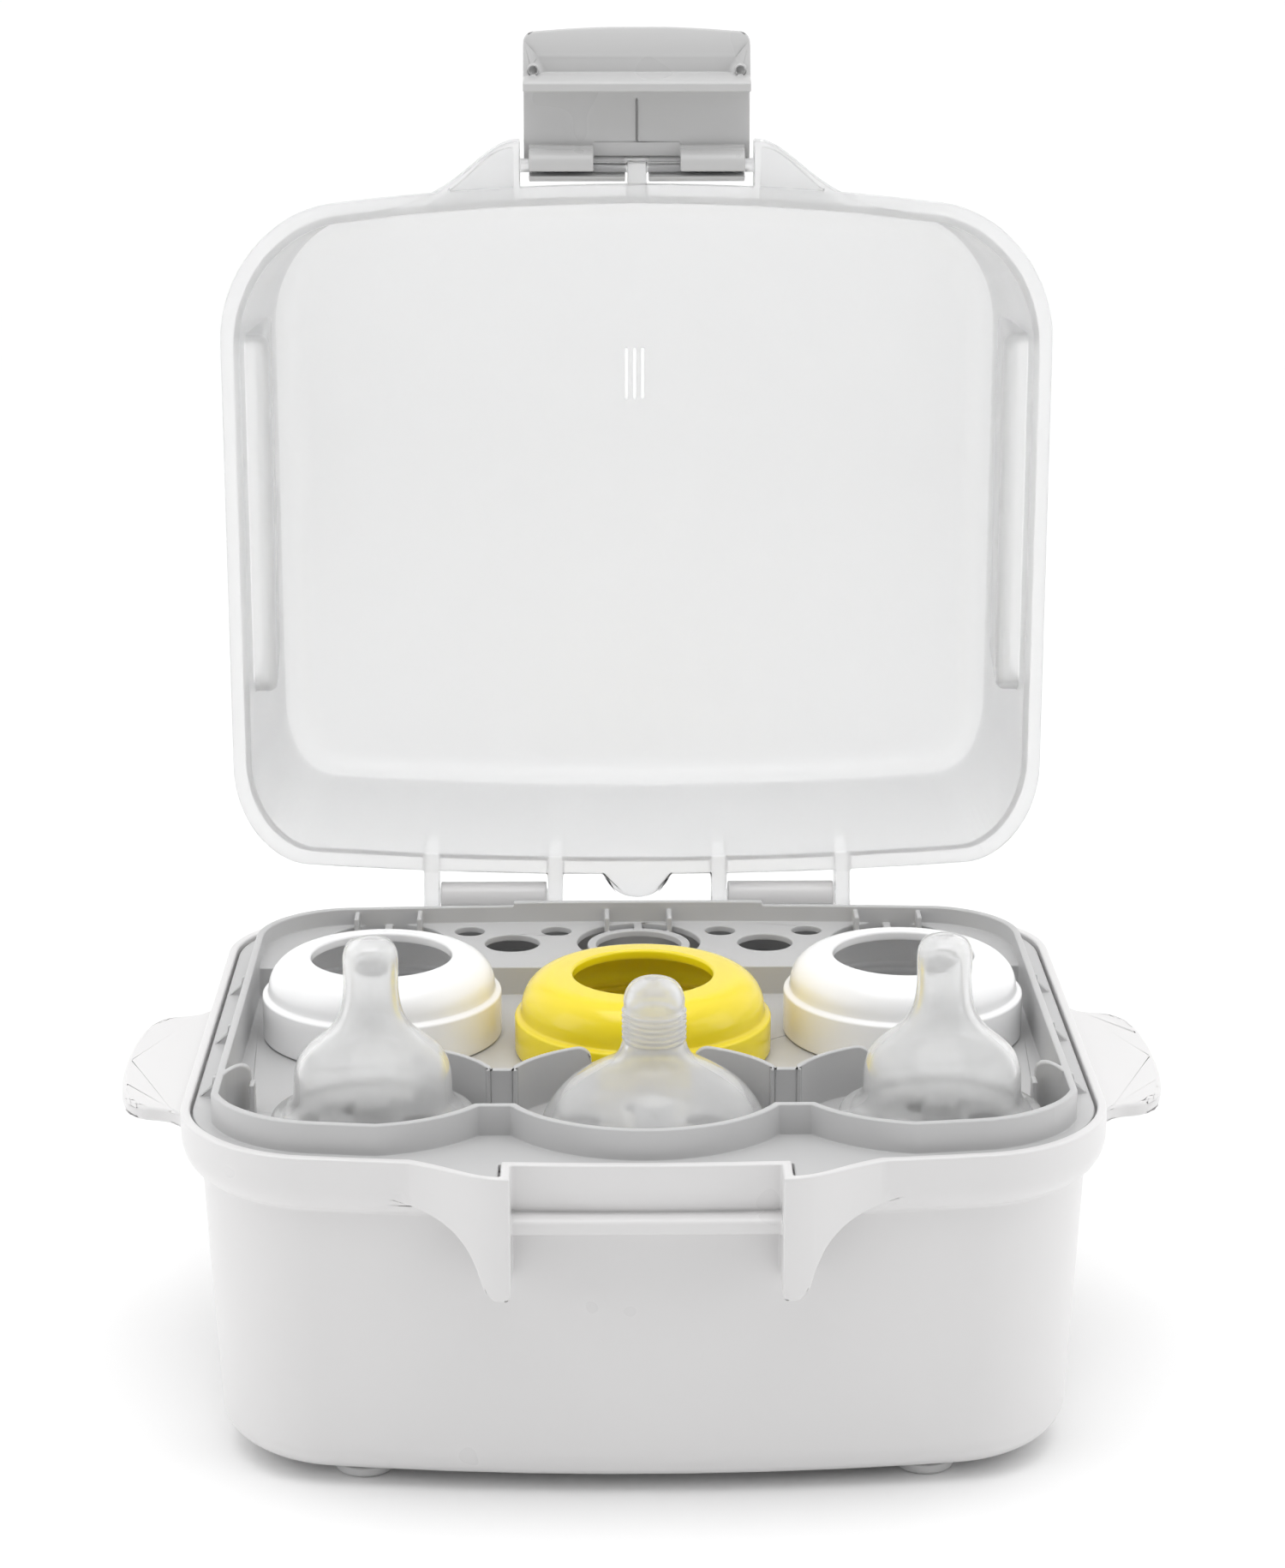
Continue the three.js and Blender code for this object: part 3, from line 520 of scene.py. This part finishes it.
def lid_shell():
    lid = join(prism(outline(LID), LID_Z, LID_Z + LID_FLANGE), lid_bell(0, LID_Z, LID_TOP))
    cavity = lid_bell(LID_WALL, LID_Z - 1, LID_TOP - LID_WALL)
    cut(lid, *[lid_scoop(0, side) for side in (-1, 1)])
    cut(cavity, *[lid_scoop(LID_WALL, side) for side in (-1, 1)])
    y, z, pin, inner, outer = (HINGE[key] for key in ("y", "z", "pin", "inner", "outer"))
    parts = [lid_ear(-1), lid_ear(1), drum(10.8, 0, LID["rear"] - 3.6, LID_Z, LID_Z + LID_FLANGE, 72)]
    for side in (-1, 1):
        for near, far in ((HINGE["lug_inner"], inner - 0.5), (outer + 0.5, HINGE["lug_outer"])):
            parts.append(hinge_lug(*sorted((side * near, side * far))))
        for near, far in ((inner - 1, inner + 6), (outer + 1, outer - 6)):
            parts.append(rod(pin, *sorted((side * near, side * far)), y, z))
    rib = [(LATCH["y"] - 1, LATCH["z"] + 1.9), (LATCH["y"] - 1, LATCH["z"] - 1.9), (-100, LID_Z),
           (-98.6, LID_Z + 12)]
    parts.append(rod(LATCH["shaft"], -POCKET_X - 1, POCKET_X + 1, LATCH["y"], LATCH["z"]))
    parts.append(prism(rib, -2.7, 2.7, "X"))
    join(lid, *parts)
    cut(lid, *[box(x - 0.5, x + 0.5, -46, -30, LID_TOP - 4, LID_TOP + 1) for x in (-2.5, 0, 2.5)])
    cut(lid, cavity)
    return rounded(lid, 0.5)


# ---------- latch ----------
def corner_web(side, face, end):
    """A three-sided web in each corner of the finger tab, with the round mark of an ejector pin."""
    root, half, low = face + 1, LATCH["half"], LATCH["hook_bottom"]
    web = solid([(side * half, root, end + 3), (side * half, root, low), (side * (half - 9.7), root, low),
                 (side * half, root + 5, low)], [(0, 1, 2), (0, 1, 3), (1, 2, 3), (0, 2, 3)])
    mark = (side * 29.6, 70.6)
    ring = cut(prism(arc(mark, 1.7, 0, 345, 23), root, root + 3.8, "Y"),
               prism(arc(mark, 1.15, 0, 345, 23), root + 1, root + 5, "Y"))
    return join(web, ring)


def front_latch():
    y, z, half, barrel, plate = (LATCH[key] for key in ("y", "z", "half", "barrel", "plate"))
    face = y - barrel
    end = z - LATCH["reach"]
    outside = bezier([(face, 80), (face, 70), (face - 0.5, 66), (face - 4, end)], 20)
    inside = [(py + plate, pz) for py, pz in reversed(outside)]
    skin = prism([(face, z), *outside, *inside, (face + plate, z)], -half, half, "X")
    tip, low, high = (LATCH[key] for key in ("hook_tip", "hook_bottom", "hook_top"))
    hook = prism([(face + 1, high), (face + 1, low - 1.5), (tip - 1.2, low), (tip, low + 1), (tip, high)],
                 -half, half, "X")
    corner = 3
    top = [*arc((-half + corner, end + 1.2 + corner), corner, 180, 262, 8),
           *bezier([(-half + corner + 1, end + 1.1), (0, end - 1.3), (half - corner - 1, end + 1.1)], 20),
           *arc((half - corner, end + 1.2 + corner), corner, 278, 360, 8)]
    latch = overlap(join(skin, hook), prism([*top, (half, z + 10), (-half, z + 10)], -130, -90, "Y"))
    for side in (-1, 1):
        clip0, clip1 = sorted((side * LATCH["clip_inner"], side * LATCH["clip_outer"]))
        low0, low1 = sorted((side * LATCH["barrel_inner"], side * LATCH["clip_outer"]))
        clip = cut(join(rod(barrel, clip0, clip1, y, z), box(clip0, clip1, face, y, z - 5.5, z)),
                   box(clip0 - 1, clip1 + 1, y, y + 6, z + 1.4, z + 2.6))
        lip = overlap(rod(barrel, low0, low1, y, z), box(low0 - 1, low1 + 1, y - 5, y + 5, z + 2.6, z + 6))
        bridge = overlap(rod(barrel, low0, low1, y, z),
                         box(low0 - 1, low1 + 1, face - 1, y - 2.6, z - 6, z + 6))
        join(latch, clip, lip, bridge, corner_web(side, face, end))
    cut(latch, rod(LATCH["bore"], -half - 1, half + 1, y, z))
    seam = face + plate
    join(latch, box(-0.3, 0.3, seam - 0.5, seam + 0.25, 79, 91),
         box(-12.5, 12.5, seam - 0.5, seam + 0.6, 91, 95))
    return rounded(latch, 0.4, 3)


# ---------- bottle parts ----------
def collar(x, y, radius, step, top, opening):
    """A screw collar: a straight grip, a small step, and a dome that turns in to the teat's opening."""
    inner, neck, shoulder = radius - COLLAR_WALL, radius - 1.8, step + 2.2
    dome = [(neck - 9 * (1 - math.cos(a)), shoulder + (top - 0.3 - shoulder) * math.sin(a))
            for a in (math.pi / 2 * i / 16 for i in range(1, 17))]
    thread = [(inner - 0.2 - 0.8 * math.sin(math.pi * i / 4) ** 2, step - 1.6 - i * (step - 3) / 16)
              for i in range(17)]
    profile = [(inner + 0.4, 0), *arc((radius - 0.5, 0.5), 0.5, -90, 0, 4), (radius, step - 0.3),
               *bezier([(radius, step - 0.1), (radius, step + 0.7), (neck + 0.3, step + 0.5),
                        (neck + 0.1, step + 1.3)], 8),
               (neck, shoulder), *dome, *arc((opening + 1, top - 0.85), 0.8, 90, 180, 6),
               *arc((opening + 0.9, top - 2.3), 0.7, 180, 270, 4), (neck - 10, top - 3.2),
               (neck - 4.5, shoulder + (top - shoulder) * 0.45), (inner - 1.1, step + 0.4), *thread,
               (inner, 0.4)]
    return lathe(profile, x, y, FLOOR_TOP + GAP, 144)


def teat(x, y, wide):
    if wide:
        skin = [(29, 3.2), (28.2, 5), (26.4, 8.1), (23.2, 11.8), (19, 15), (14.6, 17.5), (11.2, 19.4),
                (9.2, 21.8), (8.3, 24.2)]
        ribs = [(8.05 + (0.32 if i % 2 else -0.1), 25 + i * 0.72) for i in range(13)]
        tip = [(7.9, 34.6), (7.9, 36), (7.2, 38.4), (5.7, 40.3), (3.4, 41.35), (1.4, 41.6)]
        skin = skin + ribs + tip
    else:
        skin = [(26.6, 3.4), (26, 4.5), (24, 5.3), (21.9, 6.8), (20.6, 9.4), (20.4, 13.6), (20, 17.3),
                (18.6, 20.5), (16, 23.2), (13, 25.6), (10.2, 28.5), (8.3, 32), (7.3, 36), (7, 41), (7.1, 46),
                (6.7, 49), (5.3, 51), (3, 51.8), (1, 52)]
    outer = spline(skin, 3)
    lining = spline([(max(r - TEAT_WALL, 0.7), z - TEAT_WALL * 0.7) for r, z in skin[2:]], 3)
    top = outer[-1][1]
    rim, lip = skin[0][0] - 0.6, lining[0][0]
    profile = [(0, top), *reversed(outer), *arc((rim, 0.6), 0.6, 0, -90, 4), (lip + 0.4, 0), (lip, 0.4),
               *lining, (0, top - TEAT_WALL)]
    return lathe(profile, x, y, FLOOR_TOP + GAP, 112)


# ---------- materials ----------
def principled(name):
    material = bpy.data.materials.new(name)
    material.use_nodes = True
    tree = material.node_tree
    return material, tree.nodes, tree.links, tree.nodes["Principled BSDF"]


def noise(nodes, links, place, scale, detail):
    node = nodes.new("ShaderNodeTexNoise")
    node.inputs["Scale"].default_value = scale
    node.inputs["Detail"].default_value = detail
    node.inputs["Roughness"].default_value = 0.5
    links.new(place.outputs["Object"], node.inputs["Vector"])
    return node


def spread(nodes, links, source, low, high):
    node = nodes.new("ShaderNodeMapRange")
    node.inputs["From Min"].default_value = 0.15
    node.inputs["From Max"].default_value = 0.85
    node.inputs["To Min"].default_value = low
    node.inputs["To Max"].default_value = high
    links.new(source.outputs["Fac"], node.inputs["Value"])
    return node


def moulded(name, light, dark, gloss, grain=0.12, subsurface=0.0, coat=0.0, transmission=0.0, ior=1.49,
            depth=0.004):
    """Moulded plastic: a faintly cloudy colour, a roughness that drifts, and a fine spark-eroded grain."""
    material, nodes, links, shader = principled(name)
    place = nodes.new("ShaderNodeTexCoord")
    clouds = noise(nodes, links, place, 14, 1.0)
    tint = nodes.new("ShaderNodeMix")
    tint.data_type = "RGBA"
    tint.inputs["A"].default_value = (*dark, 1)
    tint.inputs["B"].default_value = (*light, 1)
    share = spread(nodes, links, clouds, 0, 1)
    links.new(share.outputs["Result"], tint.inputs["Factor"])
    links.new(tint.outputs["Result"], shader.inputs["Base Color"])
    wear = spread(nodes, links, noise(nodes, links, place, 40, 1.0), *gloss)
    links.new(wear.outputs["Result"], shader.inputs["Roughness"])
    fine = noise(nodes, links, place, 1700, 2.0)
    waves = noise(nodes, links, place, 38, 1.0)
    blend = nodes.new("ShaderNodeMath")
    blend.operation = "MULTIPLY_ADD"
    blend.inputs[1].default_value = 0.12
    links.new(fine.outputs["Fac"], blend.inputs[0])
    links.new(waves.outputs["Fac"], blend.inputs[2])
    bump = nodes.new("ShaderNodeBump")
    bump.inputs["Strength"].default_value = grain
    bump.inputs["Distance"].default_value = 0.0004
    links.new(blend.outputs["Value"], bump.inputs["Height"])
    links.new(bump.outputs["Normal"], shader.inputs["Normal"])
    shader.inputs["IOR"].default_value = ior
    shader.inputs["Coat Weight"].default_value = coat
    shader.inputs["Coat Roughness"].default_value = 0.08
    shader.inputs["Transmission Weight"].default_value = transmission
    shader.inputs["Subsurface Weight"].default_value = subsurface
    shader.inputs["Subsurface Radius"].default_value = (1.0, 0.95, 0.9)
    shader.inputs["Subsurface Scale"].default_value = depth
    return material


WHITE = moulded("white polypropylene", (0.745, 0.738, 0.738), (0.735, 0.729, 0.729), (0.26, 0.34), grain=0.07)
RUBBER = moulded("pale rubber", (0.66, 0.66, 0.66), (0.61, 0.61, 0.61), (0.55, 0.7), grain=0.3)
GREY = moulded("grey polypropylene", (0.54, 0.54, 0.542), (0.525, 0.525, 0.527), (0.3, 0.4), grain=0.08)
FROSTED = moulded("frosted polypropylene", (0.985, 0.987, 0.99), (0.978, 0.98, 0.983), (0.3, 0.36),
                  grain=0.05, transmission=0.75, ior=1.4)
LATCH_GREY = moulded("light grey plastic", (0.54, 0.54, 0.54), (0.534, 0.534, 0.534), (0.26, 0.3), grain=0.04)
COLLAR_WHITE = moulded("white collar plastic", (0.97, 0.97, 0.972), (0.96, 0.96, 0.963), (0.16, 0.24),
                       grain=0.06, subsurface=0.2, coat=0.2)
YELLOW = moulded("yellow collar plastic", (1.0, 0.74, 0.012), (0.99, 0.725, 0.01), (0.14, 0.22), grain=0.05,
                 subsurface=0.5, coat=0.25, depth=0.008)
SILICONE = moulded("clear silicone", (1.0, 1.0, 1.0), (0.99, 0.992, 0.992), (0.06, 0.12), grain=0.04,
                   transmission=0.72, ior=1.3)

# ---------- the pieces ----------
settle(base_tub(), "base_tub", "base", WHITE)
for end, y in (("front", -FOOT["y"]), ("rear", FOOT["y"])):
    for hand, x in (("left", -FOOT["x"]), ("right", FOOT["x"])):
        settle(foot(x, y), f"foot_{end}_{hand}", "base", RUBBER)
settle(accessory_tray(), "accessory_tray", "tray", GREY)
settle(lid_shell(), "lid_shell", "lid", FROSTED, -90, HINGE, HINGE_AT)
settle(front_latch(), "front_latch", "latch", LATCH_GREY, -180, LATCH, LATCH_AT)
for name, x, y, tint in COLLARS:
    settle(collar(x, y, **COLLAR_SIZES[tint]), name, name,
           YELLOW if tint == "yellow" else COLLAR_WHITE)
for name, x, y, wide in TEATS:
    settle(teat(x, y, wide), name, name, SILICONE)


# ---------- camera, light and floor ----------
def camera():
    data = bpy.data.cameras.new("camera")
    data.lens = 83.47
    data.sensor_width = 36.0
    data.sensor_fit = "AUTO"
    data.clip_start = 0.05
    view = bpy.data.objects.new("camera", data)
    view.location = (-0.01124, -0.9796, 0.4258)
    view.rotation_euler = (math.radians(90 - 15.495), 0, math.radians(-0.699))
    bpy.context.scene.collection.objects.link(view)
    bpy.context.scene.camera = view


def area_light(name, at, towards, size, power):
    data = bpy.data.lights.new(name, "AREA")
    data.shape = "RECTANGLE"
    data.size, data.size_y = size
    data.energy = power
    light = bpy.data.objects.new(name, data)
    light.location = at
    light.rotation_euler = (Vector(towards) - Vector(at)).to_track_quat("-Z", "Y").to_euler()
    bpy.context.scene.collection.objects.link(light)


def studio():
    """A white room: bright behind, above and at the sides, and dimmer in front."""
    world = bpy.data.worlds.new("studio")
    bpy.context.scene.world = world
    world.use_nodes = True
    nodes, links = world.node_tree.nodes, world.node_tree.links
    place = nodes.new("ShaderNodeTexCoord")
    split = nodes.new("ShaderNodeSeparateXYZ")
    links.new(place.outputs["Generated"], split.inputs["Vector"])
    range_node = nodes.new("ShaderNodeMapRange")
    range_node.interpolation_type = "SMOOTHSTEP"
    range_node.inputs["From Min"].default_value = -0.95
    range_node.inputs["From Max"].default_value = 0.15
    range_node.inputs["To Min"].default_value = 0.3
    range_node.inputs["To Max"].default_value = 1.1
    links.new(split.outputs["Y"], range_node.inputs["Value"])
    links.new(range_node.outputs["Result"], nodes["Background"].inputs["Strength"])
    nodes["Background"].inputs["Color"].default_value = (1, 1, 1, 1)


def floor():
    """A white studio floor that glows a little far from the object, so that it stays white to its edge."""
    edge, thickness = 14.0, 0.02
    slab = box(-edge, edge, -edge, edge, -thickness, 0)
    slab.name = slab.data.name = "floor"
    material, nodes, links, shader = principled("floor")
    shader.inputs["Base Color"].default_value = (0.97, 0.97, 0.97, 1)
    shader.inputs["Emission Color"].default_value = (1, 1, 1, 1)
    away = nodes.new("ShaderNodeVectorMath")
    away.operation = "LENGTH"
    links.new(nodes.new("ShaderNodeTexCoord").outputs["Object"], away.inputs[0])
    glow = nodes.new("ShaderNodeMapRange")
    glow.inputs["From Min"].default_value = 0.6
    glow.inputs["From Max"].default_value = 3
    glow.inputs["To Max"].default_value = 0.14
    links.new(away.outputs["Value"], glow.inputs["Value"])
    links.new(glow.outputs["Result"], shader.inputs["Emission Strength"])
    shader.inputs["Roughness"].default_value = 0.6
    shader.inputs["Specular IOR Level"].default_value = 0.2
    slab.data.materials.append(material)


camera()
studio()
floor()
area_light("top light", (0, -0.35, 1.55), (0, 0, 0.1), (1.4, 1.0), 8.5)
area_light("left light", (-1.5, -0.5, 0.7), (0, 0, 0.12), (1.2, 1.2), 3.5)
area_light("right light", (1.5, -0.5, 0.7), (0, 0, 0.12), (1.2, 1.2), 3.5)
bpy.context.scene.view_settings.view_transform = "Standard"
